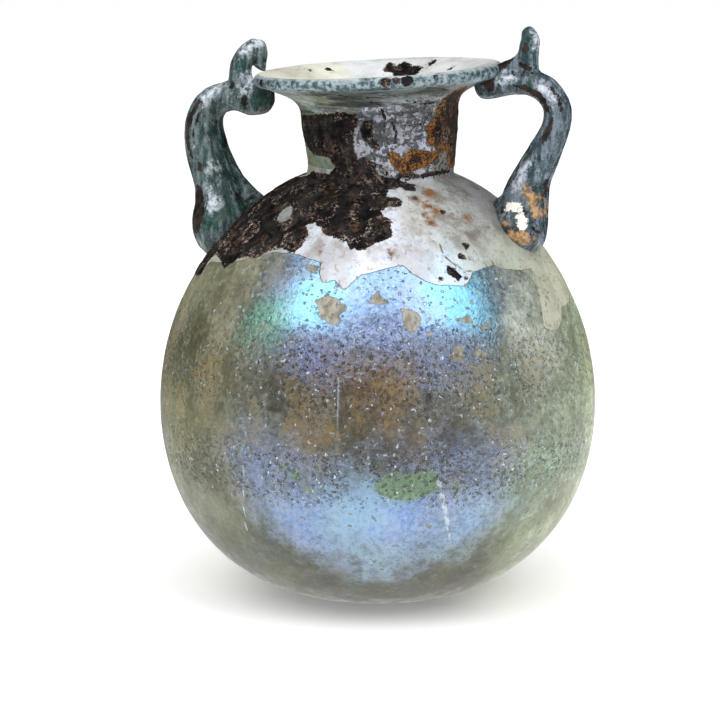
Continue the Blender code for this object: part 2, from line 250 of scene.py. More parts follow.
OCHRE_PATCH = seen([
    (384.2, 153), (391.8, 152), (399.5, 158.8), (407, 150.2), (422.4, 151), (433.9, 153), (441.6, 151),
    (433.9, 160.7), (422.4, 166.4), (407, 172.2), (397.6, 173), (389.9, 168.4),
])
NECK_RUST = [
    (52, 63.6), (87.1, 60.8), (97, 58.7), (99, 56.6), (95, 53.5),
] + seen([
    (445.4, 168.5), (443.5, 153), (433.9, 151), (424.4, 145.4), (424.4, 130), (433.9, 118.6),
    (441.6, 103.4),
])
FLAKE = seen([
    (444.8, 264.8), (452.4, 268.6), (460, 276.3), (457.2, 282), (452.4, 280), (444.8, 272.4),
])
FLAKES = seen([
    (463.9, 246.6, 0.5), (459, 257, 0.55), (467.7, 258.7, 0.25), (440, 279, 0.35), (464.9, 278.2, 0.3),
    (370, 92, 0.25), (360, 100, 0.3),
]) + [
    (30.5, 49.5, 0.45), (13, 65.1, 0.75), (3.2, 65.1, 0.7), (8, 65.2, 0.5), (26.6, 65.2, 0.35),
    (-6, 63, 0.25), (60, 64.6, 0.3), (-68, 64.9, 0.5), (130, 63, 0.8), (152, 58, 1.1), (205, 46, 0.9),
    (172, 40.5, 0.7), (118, 49, 0.9),
]
DARK_STREAKS = [
    ([(12.0, 53.1), (26.0, 53.1), (44.0, 53.3), (66.0, 53.4)], 0.28),
    ([(-22.0, 63.5), (-14.0, 63.0), (-6.0, 62.4), (2.0, 62.0)], 0.16),
    ([(-9.0, 64.2), (-2.0, 64.1), (5.0, 64.1)], 0.16), ([(18.0, 62.4), (30.0, 61.7), (41.0, 61.6)], 0.10),
    ([(-40.0, 63.6), (-30.0, 63.5)], 0.06), ([(34.0, 63.6), (46.0, 63.0), (55.0, 62.9)], 0.12),
    ([(2.0, 61.4), (4.0, 60.2), (3.0, 58.6)], 0.10), ([(9.0, 59.6), (12.0, 58.6), (11.0, 57.4)], 0.16),
    ([(18.0, 59.2), (26.0, 58.9), (33.0, 59.4)], 0.10), ([(-13.0, 55.2), (-4.0, 54.7), (4.0, 54.0)], 0.20),
]
INNER_SOIL = [
    (165.0, 64.4, 1.3), (156.0, 64.1, 1.1), (173.0, 64.7, 0.8), (148.0, 65.0, 0.5), (-150.0, 64.8, 0.5),
    (-138.0, 64.9, 0.35), (128.0, 64.6, 0.5), (20.0, 64.0, 0.8), (-60.0, 63.5, 0.7),
]
chip = signed_distance(CRUST_CHIP)
streaks = np.maximum.reduce([signed_distance(line, closed=False) + wide for line, wide in DARK_STREAKS])
ochre = np.maximum(signed_distance(NECK_RUST), signed_distance(OCHRE_PATCH))
crust = np.maximum.reduce([
    np.minimum(signed_distance(CRUST), -chip), signed_distance(CRUST_BEHIND), signed_distance(NECK_PATCH),
    ochre, signed_distance(FLAKE), spot_distance(FLAKES), streaks, spot_distance(INNER_SOIL, inner=True),
])

# White film: an opaque, pinkish and cream weathering skin over the shoulder, with a crisp lower edge.
WHITE_FILM = seen([
    (197, 276), (210, 262), (226.5, 262.9), (249.5, 259), (272.4, 252.4), (295.4, 254.3), (308.8, 259),
    (320.3, 262.9), (318.4, 274.4), (322.2, 283.9), (333.7, 281), (343.2, 291.6), (352.8, 282),
    (360.4, 275.3), (381.5, 270.5), (400.6, 264.8), (412, 274.4), (425.5, 282), (439, 285.8),
    (463.9, 286.8), (467.7, 282), (471.6, 272.4), (492.6, 264.8), (502.2, 269.6), (517.5, 270.5),
    (532.8, 268.6), (534.7, 280), (539.5, 299.2), (543.3, 327.9), (557.7, 332.7), (561.5, 318.4),
    (561.5, 306.9), (569, 303), (567, 284),
]) + [
    (104, 41), (112, 37), (126, 40), (138, 44), (150, 47), (150, 54), (-100, 54), (-100, 41),
]
NECK_FILM = [
    (-13.0, 61.6), (-20.0, 59.5), (-22.0, 56.5), (-8.0, 54.0), (8.0, 53.0), (40.0, 53.0), (66.0, 53.6),
    (60.0, 55.8), (46.0, 57.0), (44.0, 60.0), (50.0, 62.0), (30.0, 62.6), (8.0, 62.2),
]
FILM_CHIPS = [
    seen([
        (327.9, 293.5), (330.8, 296.4), (338.4, 299.2), (341.3, 304), (346.7, 305.9), (345, 312.6),
        (338.4, 313.6), (340.9, 323), (333.7, 325), (327.9, 322.2), (325, 319.3), (318.4, 318.4),
        (319.3, 308.8), (314.5, 300.2), (322.2, 298.3),
    ]),
    seen([
        (377.7, 290.6), (382.4, 298.3), (389, 301), (387.2, 305.3), (375.7, 304), (368, 302),
        (371.9, 297.3),
    ]),
    seen([
        (400.6, 308.8), (412, 310.7), (420.7, 316.4), (420, 325), (412, 333.7), (404.4, 327.9),
        (402.2, 318.4),
    ]),
    seen([
        (303, 264.8), (312.6, 264.8), (318.4, 266.7), (316.4, 271.5), (310.7, 272.5), (305, 268.6),
    ]),
    seen([
        (335.6, 282), (341.3, 286.8), (338.4, 288.7), (333.7, 284.9),
    ]),
    seen([
        (454.4, 318.4), (462, 319.3), (469.7, 313.6), (473.5, 324), (466.8, 323), (456.3, 322.2),
    ]),
    seen([
        (455.3, 343.2), (460, 345), (463.9, 350.9), (462, 360.4), (454.4, 362.4), (448.6, 358.5),
        (454.4, 352.8),
    ]),
    seen([
        (474.4, 349.9), (483, 349), (486.9, 356.6), (481, 357.6),
    ]),
    seen([
        (486.9, 322.2), (489.7, 329.8), (476.4, 328.9),
    ]),
]
CHIP_SPOTS = seen([
    (429.5, 334.6, 0.35), (471.6, 303, 0.3),
]) + [
    (-38, 31, 0.3), (-27, 35.5, 0.25), (160, 35, 1.6), (188, 28, 1.3), (-130, 24, 1.2), (130, 30, 0.9),
]
GREEN_PATCH = seen([
    (378, 480), (392, 472), (410, 474), (430, 470), (443, 478), (440, 488), (425, 496), (405, 502),
    (388, 498), (374, 490),
])
GREEN_SPOTS = seen([
    (295, 475, 0.6),
]) + [
    (-24, 21, 0.4), (20, 18.6, 0.5), (-17.5, 18.4, 0.4),
]
OLIVE_LINES = [
    seen([
        (437, 243.7), (442.9, 257), (452.4, 264.8), (462, 270.5), (473.5, 272.4),
    ]),
    seen([
        (486.9, 257), (492.6, 264.8), (502.2, 269.6), (517.5, 270.9),
    ]),
    seen([
        (532.8, 268.6), (534.7, 280), (539.5, 299.2), (543.3, 327.9),
    ]),
]
RUST_SPOTS = seen([
    (426.6, 193, 0.9), (412.3, 199.7, 0.7), (427.6, 222.7, 0.7), (464, 218.9, 0.6),
]) + [
    (24, 50.2, 0.6), (28, 49.6, 0.7), (21.5, 49.3, 0.5), (33.5, 49, 0.4), (4, 45.4, 0.5), (-22, 45.5, 0.3),
    (120, 47, 1.2), (140, 50, 0.9),
]
SCRATCHES = [
    seen([
        (437, 480), (441, 500), (446, 522), (450, 540),
    ]),
    [
        (15.9, 19.6), (17.4, 17), (19.2, 14),
    ],
    seen([
        (345, 378), (357, 374), (370, 371), (385, 365),
    ]),
    seen([
        (339, 380), (339, 450),
    ]),
    seen([
        (245.1, 450), (243, 490), (247, 530),
    ]),
]
white_film = signed_distance(WHITE_FILM)
neck_film = signed_distance(NECK_FILM)
lost_film = np.maximum.reduce([signed_distance(c) for c in FILM_CHIPS] + [spot_distance(CHIP_SPOTS)])
green = np.maximum(signed_distance(GREEN_PATCH), spot_distance(GREEN_SPOTS))
olive_line = np.maximum.reduce([signed_distance(c, closed=False) for c in OLIVE_LINES])
rust = spot_distance(RUST_SPOTS)
scratch = np.maximum.reduce([signed_distance(c, closed=False) for c in SCRATCHES])


def blended(anchors):
    """A soft blend over the whole skin of values given at a few (azimuth, height) places."""
    total, weights = 0.0, 0.0
    for a, z, *value in anchors:
        turned = (azimuth - a + 180.0) % 360.0 - 180.0
        gap = np.hypot(turned * 22.0 * math.pi / 180.0, height - z)
        weight = 1.0 / (gap**2 + 9.0) ** 2
        total = total + weight[:, None] * np.array(value)[None, :]
        weights = weights + weight
    return total / weights[:, None]


# The colour of the glass under the film: olive on the left, brown and amber in the middle, pale
# green on the right, and greyer on the neck and rim. Part of it is painted light: the pale, near-white
# places towards the right edge are painted light shining through the thin glass, and the dark places
# round the foot are painted shade. Each place is azimuth, height, red, green, blue.
glass_tint_and_painted_light = blended([
    (-80, 24, 0.22, 0.22, 0.13), (-75, 36, 0.3, 0.29, 0.2), (-50, 30, 0.21, 0.21, 0.13),
    (-62, 24, 0.25, 0.25, 0.13), (-55, 16, 0.15, 0.16, 0.11), (-45, 38, 0.25, 0.24, 0.17),
    (-30, 24, 0.21, 0.24, 0.24), (-66, 33, 0.16, 0.16, 0.1), (0, 28, 0.13, 0.11, 0.08),
    (-3, 31, 0.18, 0.11, 0.05), (-12, 26, 0.14, 0.12, 0.05), (-20, 29, 0.09, 0.09, 0.07),
    (8, 24, 0.11, 0.1, 0.08), (15, 27, 0.15, 0.15, 0.12), (35, 30, 0.25, 0.27, 0.22),
    (50, 34, 0.44, 0.50, 0.46), (55, 22, 0.34, 0.43, 0.34), (64, 30, 0.33, 0.41, 0.31),
    (75, 28, 0.55, 0.7, 0.49), (88, 26, 0.88, 0.86, 0.7), (60, 10, 0.37, 0.41, 0.25),
    (-45, 7, 0.07, 0.08, 0.03), (0, 3, 0.06, 0.06, 0.03), (30, 3, 0.07, 0.07, 0.03),
    (0, 15, 0.15, 0.19, 0.21), (0, 38, 0.16, 0.18, 0.19), (0, 57, 0.16, 0.17, 0.17),
    (-60, 57, 0.24, 0.29, 0.2), (0, 63, 0.19, 0.23, 0.23), (-60, 62, 0.4, 0.43, 0.28),
    (45, 63, 0.2, 0.24, 0.23), (80, 58, 0.17, 0.14, 0.12), (180, 57, 0.26, 0.27, 0.23),
    (180, 28, 0.26, 0.26, 0.16), (140, 20, 0.29, 0.31, 0.19), (-140, 24, 0.24, 0.24, 0.14),
    (180, 6, 0.08, 0.08, 0.04), (180, 45, 0.28, 0.29, 0.2),
])

# The iridescent film: cyan over sky blue high on the front, violet below it, periwinkle on the lower
# front. The last number of each place is how much of the skin the film covers.
film_tint = blended([
    (-20, 40, 0.32, 0.78, 1.0, 0.95), (22, 39, 0.27, 0.74, 1.0, 0.95), (0, 41, 0.42, 0.66, 1.0, 0.95),
    (1, 37, 0.46, 0.58, 0.98, 0.75), (-18, 34, 0.42, 0.50, 0.95, 0.62), (18, 34, 0.40, 0.56, 0.95, 0.62),
    (-34, 38, 0.28, 0.88, 0.62, 0.6), (-33, 42, 0.35, 0.48, 0.85, 0.5), (0, 33, 0.42, 0.42, 0.6, 0.32),
    (0, 29, 0.40, 0.36, 0.32, 0.06), (-25, 29, 0.42, 0.42, 0.45, 0.12), (28, 29, 0.42, 0.46, 0.52, 0.18),
    (0, 23, 0.34, 0.44, 0.70, 0.34), (-28, 22, 0.34, 0.44, 0.76, 0.52), (25, 22, 0.38, 0.48, 0.74, 0.50),
    (0, 16, 0.28, 0.44, 0.82, 0.80), (-20, 14, 0.30, 0.44, 0.74, 0.68), (25, 14, 0.34, 0.50, 0.72, 0.70),
    (0, 8, 0.40, 0.54, 0.72, 0.55), (-30, 9, 0.42, 0.50, 0.58, 0.22), (35, 10, 0.40, 0.48, 0.50, 0.18),
    (0, 3, 0.40, 0.42, 0.36, 0.0), (25, 3, 0.40, 0.42, 0.36, 0.0), (-25, 3, 0.40, 0.42, 0.34, 0.0),
    (-50, 30, 0.45, 0.50, 0.46, 0.04), (-52, 15, 0.45, 0.50, 0.46, 0.05), (-52, 40, 0.45, 0.70, 0.75, 0.12),
    (48, 32, 0.50, 0.60, 0.62, 0.16), (50, 18, 0.45, 0.58, 0.62, 0.22), (-80, 26, 0.5, 0.5, 0.4, 0.02),
    (80, 28, 0.5, 0.6, 0.5, 0.04), (0, 57, 0.50, 0.54, 0.72, 0.15), (0, 63, 0.6, 0.7, 0.7, 0.15),
    (180, 30, 0.45, 0.55, 0.65, 0.25), (160, 14, 0.38, 0.55, 0.85, 0.35), (-130, 30, 0.4, 0.5, 0.5, 0.2),
    (180, 57, 0.5, 0.55, 0.6, 0.15),
])

# The white film's own colour, from pinkish white in the middle to cream grey on the right.
white_tint = blended([
    (-70, 42, 0.43, 0.41, 0.36), (-25, 44, 0.53, 0.55, 0.61), (-5, 44, 0.71, 0.73, 0.8),
    (10, 45, 0.68, 0.71, 0.81), (22, 43, 0.55, 0.68, 0.83), (18, 48, 0.52, 0.52, 0.49),
    (35, 46, 0.44, 0.48, 0.44), (48, 44, 0.39, 0.43, 0.35), (60, 39, 0.45, 0.46, 0.36),
    (80, 38, 0.52, 0.52, 0.4), (30, 51, 0.36, 0.36, 0.33), (60, 50, 0.24, 0.24, 0.25),
    (45, 48, 0.36, 0.37, 0.37), (-48, 49, 0.33, 0.35, 0.36), (5, 58, 0.52, 0.59, 0.78),
    (30, 56, 0.46, 0.5, 0.66), (140, 48, 0.43, 0.43, 0.34), (-120, 45, 0.43, 0.41, 0.34),
    (-90, 65, 0.97, 0.97, 0.82), (-140, 65, 0.97, 0.97, 0.82), (180, 65, 0.87, 0.91, 0.94),
    (120, 65, 0.84, 0.87, 0.88), (60, 65, 0.82, 0.83, 0.78),
])

# Blown glass is never quite true: the skin swells and dips by a tenth of a millimetre, and the crust
# stands proud of it in clots. The relief dies away at the foot and round the widest part.
SWELL_DEPTH, RIPPLE_DEPTH, CRUST_DEPTH, FILM_DEPTH, MOST_RELIEF = 0.12, 0.035, 0.10, 0.04, 0.25
FOOT_FADE, WIDEST_PART_FADE = 3.0, 6.0
normal_lean = np.gradient(profile, axis=0)
normal_lean /= np.hypot(*normal_lean.T)[:, None]
out_r = np.repeat(-normal_lean[:, 1], COLUMNS)
out_z = np.repeat(normal_lean[:, 0], COLUMNS)
x, y, z = radius * np.cos(angle), radius * np.sin(angle), height
places = [Vector(p) for p in np.column_stack([x, y, z])]
swell = np.array([noise.noise(p * 0.07) for p in places])
ripple = np.array([noise.noise(Vector((p.x * 0.25, p.y * 0.25, p.z * 0.6)) + Vector((9, 4, 2)))
                   for p in places])
clots = np.array([noise.noise(p * 1.3) + 0.6 * noise.noise(p * 3.1) for p in places])
lift = SWELL_DEPTH * swell + RIPPLE_DEPTH * ripple
lift = lift * np.clip(height / FOOT_FADE, 0.0, 1.0)
lift += np.where(skin, eased(crust, -0.2, 0.4) * CRUST_DEPTH * (1.0 + clots), 0.0)
lift += np.where(skin, eased(white_film, -0.1, 0.3) * FILM_DEPTH, 0.0)
fade_at_equator = 1.0 - 0.8 * np.exp(-((height - EQUATOR_HEIGHT) / WIDEST_PART_FADE) ** 2)
lift = np.minimum(lift, MOST_RELIEF) * np.where(skin, fade_at_equator, 1.0)
x = x + lift * out_r * np.cos(angle)
y = y + lift * out_r * np.sin(angle)
z = np.maximum(z + lift * out_z, 0.0)
reach = x * math.cos(HANDLE_PLANE) + y * math.sin(HANDLE_PLANE)
middle_height = (EQUATOR_HEIGHT + NECK_ROOT_HEIGHT) / 2
drift = eased(z, middle_height, NECK_ROOT_HEIGHT) - eased(z, NECK_ROOT_HEIGHT, RIM_HEIGHT)
lean = reach * math.tan(RIM_TILT) * eased(z, NECK_ROOT_HEIGHT, NECK_TOP_HEIGHT)
corners = np.column_stack([x + NECK_OFFSET * drift, y, z + lean]) * MM

row = np.arange(ROWS - 1)[:, None] * COLUMNS
here, after = np.arange(COLUMNS), np.roll(np.arange(COLUMNS), -1)
quads = np.stack([row + here, row + COLUMNS + here, row + COLUMNS + after, row + after], axis=-1)
quads = quads.reshape(-1, 4).tolist()
last = (ROWS - 1) * COLUMNS
caps = [list(range(COLUMNS)), [last + c for c in reversed(range(COLUMNS))]]


def smooth_object(name, mesh):
    mesh.shade_smooth()
    obj = bpy.data.objects.new(name, mesh)
    bpy.context.scene.collection.objects.link(obj)
    return obj


flask_mesh = bpy.data.meshes.new("flask_skin")
flask_mesh.from_pydata(corners.tolist(), [], quads + caps)
flask_mesh.update()


def store(mesh, name, values, kind="FLOAT"):
    """Values for every corner of a mesh, for its material to read."""
    attribute = mesh.attributes.new(name, kind, "POINT")
    field = "color" if kind == "FLOAT_COLOR" else "value"
    attribute.data.foreach_set(field, np.ascontiguousarray(values, dtype=np.float32).ravel())


for name, values in {
    "crust": crust, "ochre": ochre, "white_film": white_film, "neck_film": neck_film, "lost_film": lost_film,
    "green": green, "olive_line": olive_line, "rust": rust, "scratch": scratch,
    "inside": np.where(skin, 0.0, 1.0), "height": height, "film_cover": film_tint[:, 3],
}.items():
    store(flask_mesh, name, values)
tints = {"glass_tint_and_painted_light": glass_tint_and_painted_light, "film_tint": film_tint[:, :3], "white_tint": white_tint}
for name, colour in tints.items():
    store(flask_mesh, name, np.column_stack([colour, np.ones(len(colour))]), "FLOAT_COLOR")
flask = smooth_object("flask_glass", flask_mesh)


class Nodes:
    """Short ways to add and join a material's nodes."""

    def __init__(self, name):
        self.material = bpy.data.materials.new(name)
        self.material.use_nodes = True
        self.tree = self.material.node_tree
        self.tree.nodes.clear()
        self.output = self.tree.nodes.new("ShaderNodeOutputMaterial")
        self.coordinates = self.tree.nodes.new("ShaderNodeTexCoord").outputs["Object"]

    def join(self, socket, value):
        if isinstance(value, bpy.types.NodeSocket):
            self.tree.links.new(value, socket)
        elif isinstance(value, tuple) and len(value) == 3 and socket.type == "RGBA":
            socket.default_value = (*value, 1.0)
        else:
            socket.default_value = value

    def add(self, kind, output=0, settings=None, **inputs):
        node = self.tree.nodes.new(kind)
        for key, value in (settings or {}).items():
            setattr(node, key, value)
        for key, value in inputs.items():
            self.join(node.inputs[int(key[1:]) if key[0] == "i" and key[1:].isdigit() else key], value)
        return node.outputs[output]

    def value(self, name):
        node = self.tree.nodes.new("ShaderNodeAttribute")
        node.attribute_name = name
        return node.outputs["Fac"]

    def colour(self, name):
        node = self.tree.nodes.new("ShaderNodeAttribute")
        node.attribute_name = name
        return node.outputs["Color"]

    def maths(self, operation, *values):
        named = {"i%d" % k: value for k, value in enumerate(values)}
        return self.add("ShaderNodeMath", settings={"operation": operation}, **named)

    def times(self, first, second):
        return self.maths("MULTIPLY", first, second)

    def larger(self, first, second):
        return self.maths("MAXIMUM", first, second)

    def plus(self, first, second):
        return self.maths("ADD", first, second)

    def less(self, first, second):
        return self.maths("SUBTRACT", first, second)

    def stretched(self, scale, move=(0.0, 0.0, 0.0)):
        return self.add("ShaderNodeMapping", Vector=self.coordinates, Scale=scale, Location=move)

    def noise(self, scale, detail=3.0, rough=0.55, vector=None):
        return self.add(
            "ShaderNodeTexNoise", Vector=vector or self.coordinates, Scale=scale, Detail=detail,
            Roughness=rough,
        )

    def cells(self, scale, vector=None):
        return self.add("ShaderNodeTexVoronoi", Vector=vector or self.coordinates, Scale=scale)

    def ranged(self, value, low, high, to_low=0.0, to_high=1.0):
        kind = {"interpolation_type": "SMOOTHSTEP"}
        return self.add("ShaderNodeMapRange", settings=kind, i0=value, i1=low, i2=high, i3=to_low, i4=to_high)

    def edge(self, distance, wobble, amount, softness=0.08):
        """1 inside a stored outline and 0 outside it, with the edge made ragged by a noise."""
        moved = self.maths("MULTIPLY_ADD", self.less(wobble, 0.5), amount, distance)
        return self.ranged(moved, -softness, softness)

    def mixed(self, share, first, second, how="MIX"):
        node = self.tree.nodes.new("ShaderNodeMix")
        node.data_type = "RGBA"
        node.blend_type = how
        self.join(node.inputs[0], share)
        self.join(node.inputs[6], first)
        self.join(node.inputs[7], second)
        return node.outputs[2]

    def tinted(self, colour, tint):
        return self.mixed(1.0, colour, tint, "MULTIPLY")

    def bump(self, height, distance, normal=None):
        node = self.tree.nodes.new("ShaderNodeBump")
        node.inputs["Distance"].default_value = distance
        self.join(node.inputs["Height"], height)
        if normal is not None:
            self.join(node.inputs["Normal"], normal)
        return node.outputs[0]

    def shader(self, colour, roughness, normal, **plain):
        node = self.tree.nodes.new("ShaderNodeBsdfPrincipled")
        self.join(node.inputs["Base Color"], colour)
        self.join(node.inputs["Roughness"], roughness)
        self.join(node.inputs["Normal"], normal)
        for key, value in plain.items():
            node.inputs[key.replace("_", " ")].default_value = value
        return node.outputs[0]

    def over(self, share, below, above):
        node = self.tree.nodes.new("ShaderNodeMixShader")
        self.join(node.inputs[0], share)
        self.join(node.inputs[1], below)
        self.join(node.inputs[2], above)
        return node.outputs[0]

    def finish(self, surface):
        self.join(self.output.inputs["Surface"], surface)
        return self.material


def flask_material():
    n = Nodes("weathered_flask_glass")
    fine = n.noise(4200.0, 4.0, 0.7)
    small = n.noise(1700.0, 5.0, 0.65)
    medium = n.noise(560.0, 6.0, 0.62)
    broad = n.noise(1.0, 5.0, 0.62, n.stretched((190.0, 190.0, 110.0)))
    cloud = n.noise(1.0, 4.0, 0.6, n.stretched((75.0, 75.0, 50.0), (0.4, 0.2, 0.7)))
    streak = n.noise(1.0, 5.0, 0.65, n.stretched((1500.0, 1500.0, 240.0)))
    height = n.value("height")
    inside = n.value("inside")
    outer = n.less(1.0, inside)

    # The bands where the skin is pitted: below the highlights and above the lower blue.
    upper_band = n.times(n.ranged(height, 24.0, 29.0), n.ranged(height, 39.0, 33.0))
    lower_band = n.times(n.ranged(height, 15.0, 19.0), n.ranged(height, 26.0, 22.0))
    pitted = n.times(n.larger(upper_band, lower_band), n.ranged(broad, 0.36, 0.52))
    jittered = n.add("ShaderNodeVectorMath", settings={"operation": "MULTIPLY_ADD"},
                     i0=n.add("ShaderNodeTexNoise", 1, Vector=n.coordinates, Scale=1400.0, Detail=2.0),
                     i1=(0.0009, 0.0009, 0.0009), i2=n.coordinates)
    pit = n.times(n.ranged(n.cells(1750.0, jittered), 0.46, 0.10),
                  n.times(pitted, n.ranged(medium, 0.38, 0.52)))
    # Glints: tiny points in the pitted bands. The bump raises them, and further down they are painted as pale
    # dots: painted glints.
    glint_bumps_and_painted_glints = n.times(n.ranged(n.cells(1250.0, jittered), 0.30, 0.14),
                    n.times(n.larger(pitted, n.times(n.ranged(height, 34.0, 38.0, 0.0, 0.5),
                                                         n.ranged(height, 44.5, 43.0))),
                            n.ranged(small, 0.44, 0.52)))

    # Where the layers lie.
    crust = n.edge(n.value("crust"), small, 1.3, 0.04)
    white = n.edge(n.value("white_film"), medium, 0.5, 0.05)
    on_neck = n.edge(n.value("neck_film"), medium, 2.0, 0.25)
    lost = n.edge(n.value("lost_film"), small, 1.1, 0.05)
    green = n.edge(n.value("green"), small, 1.6, 0.14)
    rust = n.edge(n.value("rust"), small, 2.2, 0.5)
    beside = n.edge(n.value("white_film"), medium, 0.5, 0.16)
    rim_line = n.ranged(n.times(beside, n.less(1.0, beside)), 0.12, 0.24)
    line = n.larger(rim_line, n.edge(n.plus(n.value("olive_line"), 0.12), small, 0.35, 0.05))
    scratch = n.ranged(n.maths("MULTIPLY_ADD", fine, 0.16, n.value("scratch")), -0.17, 0.0)
    flake = n.times(n.ranged(medium, 0.55, 0.57), n.ranged(small, 0.56, 0.60))

    # The glass: tint (with painted light towards the right edge and painted shade at the foot),
    # clouding, brown streaks, pale bloom and small dark flecks.
    tint = n.colour("glass_tint_and_painted_light")
    clouded = n.mixed(n.ranged(broad, 0.30, 0.70), n.tinted(tint, (0.48, 0.45, 0.38)),
                      n.tinted(tint, (1.55, 1.52, 1.45)))
    drifted = n.mixed(n.ranged(cloud, 0.42, 0.62, 0.0, 0.45), clouded,
                      n.tinted(tint, (0.62, 0.72, 0.62)))
    streaked = n.mixed(n.ranged(streak, 0.52, 0.70, 0.0, 0.42), drifted,
                       n.tinted(tint, (0.55, 0.42, 0.24)))
    bloom = n.mixed(n.ranged(medium, 0.50, 0.66, 0.0, 0.48), streaked,
                    n.tinted(tint, (1.70, 1.70, 1.50)))
    grained = n.mixed(n.ranged(small, 0.38, 0.62), n.tinted(bloom, (0.74, 0.74, 0.70)),
                      n.tinted(bloom, (1.28, 1.28, 1.32)))
    gold = n.times(n.times(n.ranged(height, 20.0, 25.0), n.ranged(height, 38.0, 31.0)),
                   n.times(n.ranged(broad, 0.47, 0.58), n.ranged(small, 0.36, 0.56, 0.0, 0.55)))
    grained = n.mixed(n.maths("MULTIPLY_ADD", pitted, 0.5, 0.5), bloom, grained)
    grained = n.mixed(n.times(green, 0.75), grained, (0.17, 0.26, 0.17))
    grained = n.mixed(gold, grained, (0.26, 0.165, 0.045))
    flecked = n.mixed(n.ranged(n.noise(1100.0, 3.0), 0.64, 0.70, 0.0, 0.6), grained, (0.05, 0.045, 0.03))
    # Streaks round the flare under the rim: dark streaks, and pale streaks that are painted highlights.
    turned = n.noise(1.0, 5.0, 0.7, n.stretched((210.0, 210.0, 1700.0)))
    flared = n.times(n.ranged(height, 58.5, 60.5), outer)
    flecked = n.mixed(n.times(flared, n.ranged(turned, 0.49, 0.58, 0.0, 0.85)), flecked,
                      (0.030, 0.034, 0.030))
    flecked = n.mixed(n.times(flared, n.ranged(turned, 0.44, 0.36, 0.0, 0.7)), flecked,
                      (0.55, 0.60, 0.60))
    rim_colour_and_painted_highlight = n.mixed(n.times(n.ranged(height, 63.8, 64.3), outer), flecked,
                     n.mixed(n.ranged(small, 0.42, 0.62), (0.050, 0.11, 0.12), (0.42, 0.51, 0.54)))
    # A pale line along the top edge of the rim: a painted highlight.
    rim_colour_and_painted_highlight = n.mixed(n.times(n.ranged(height, 65.25, 65.55), n.ranged(medium, 0.36, 0.56)), rim_colour_and_painted_highlight,
                     (0.62, 0.68, 0.70))
    chipped = n.mixed(n.ranged(streak, 0.38, 0.62), (0.24, 0.22, 0.16), (0.46, 0.43, 0.35))
    bare = n.mixed(lost, rim_colour_and_painted_highlight, chipped)
    stains = n.mixed(n.ranged(cloud, 0.44, 0.60, 0.0, 0.5), n.colour("white_tint"), (0.55, 0.50, 0.40))
    creamy = n.mixed(n.times(inside, n.ranged(medium, 0.30, 0.55, 0.75, 0.97)), bare,
                     n.mixed(n.ranged(small, 0.60, 0.68, 0.0, 0.4), stains, (0.34, 0.25, 0.16)))

    # Heights of the layers' surfaces, for the bump.
    grain = n.times(n.plus(fine, n.times(small, 1.5)),
                    n.maths("MULTIPLY_ADD", pitted, 0.9, 0.16))
    skin = n.bump(n.plus(grain, n.times(medium, 0.6)), 0.00014)
    skin = n.bump(n.less(glint_bumps_and_painted_glints, pit), 0.00040, skin)
    layered = n.maths("MULTIPLY_ADD", lost, -0.6, n.larger(white, n.times(on_neck, 0.8)))
    skin = n.bump(layered, 0.00009, skin)
    skin = n.bump(scratch, 0.00008, skin)
    clotted = n.plus(n.times(medium, 1.6), n.plus(small, fine))
    rough_skin = n.bump(clotted, 0.00022, n.bump(crust, 0.00026))

    glass = n.shader(creamy, n.ranged(medium, 0.3, 0.7, 0.26, 0.48), skin, Transmission_Weight=0.25, IOR=1.5)

    # The iridescent film, thin and broken, mirror-like where whole.
    shade = n.mixed(n.ranged(small, 0.35, 0.65), (0.66, 0.70, 0.78), (1.22, 1.18, 1.12))
    film_colour = n.tinted(n.colour("film_tint"), shade)
    film_colour = n.mixed(n.ranged(broad, 0.50, 0.64, 0.0, 0.4), film_colour, (0.40, 0.42, 0.72))
    film_colour = n.mixed(n.ranged(cloud, 0.52, 0.64, 0.0, 0.4), film_colour, (0.46, 0.72, 0.78))
    film_colour = n.mixed(green, film_colour, n.mixed(n.ranged(small, 0.4, 0.6), (0.24, 0.42, 0.25),
                                                      (0.42, 0.62, 0.42)))
    film_colour = n.mixed(n.larger(glint_bumps_and_painted_glints, n.times(scratch, 0.5)), film_colour,
                          (0.86, 0.94, 1.0))
    gloss = n.maths("MULTIPLY_ADD", pitted, -0.10, n.ranged(small, 0.3, 0.7, 0.22, 0.38))
    film = n.shader(film_colour, gloss, skin, Metallic=1.0)
    cover = n.maths("MULTIPLY_ADD", n.less(medium, 0.5), 0.9, n.value("film_cover"))
    cover = n.maths("MULTIPLY_ADD", n.less(fine, 0.5), n.times(pitted, 1.1), cover)
    cover = n.maths("MULTIPLY_ADD", pit, -0.65, n.maths("MULTIPLY_ADD", glint_bumps_and_painted_glints, 0.9, cover))
    cover = n.ranged(cover, 0.12, 0.82, 0.0, 0.86)
    cover = n.times(cover, n.maths("MULTIPLY_ADD", green, -0.45, 1.0))
    cover = n.times(cover, n.less(1.0, n.larger(lost, flake)))
    cover = n.larger(cover, n.times(scratch, 0.5))
    cover = n.times(cover, outer)

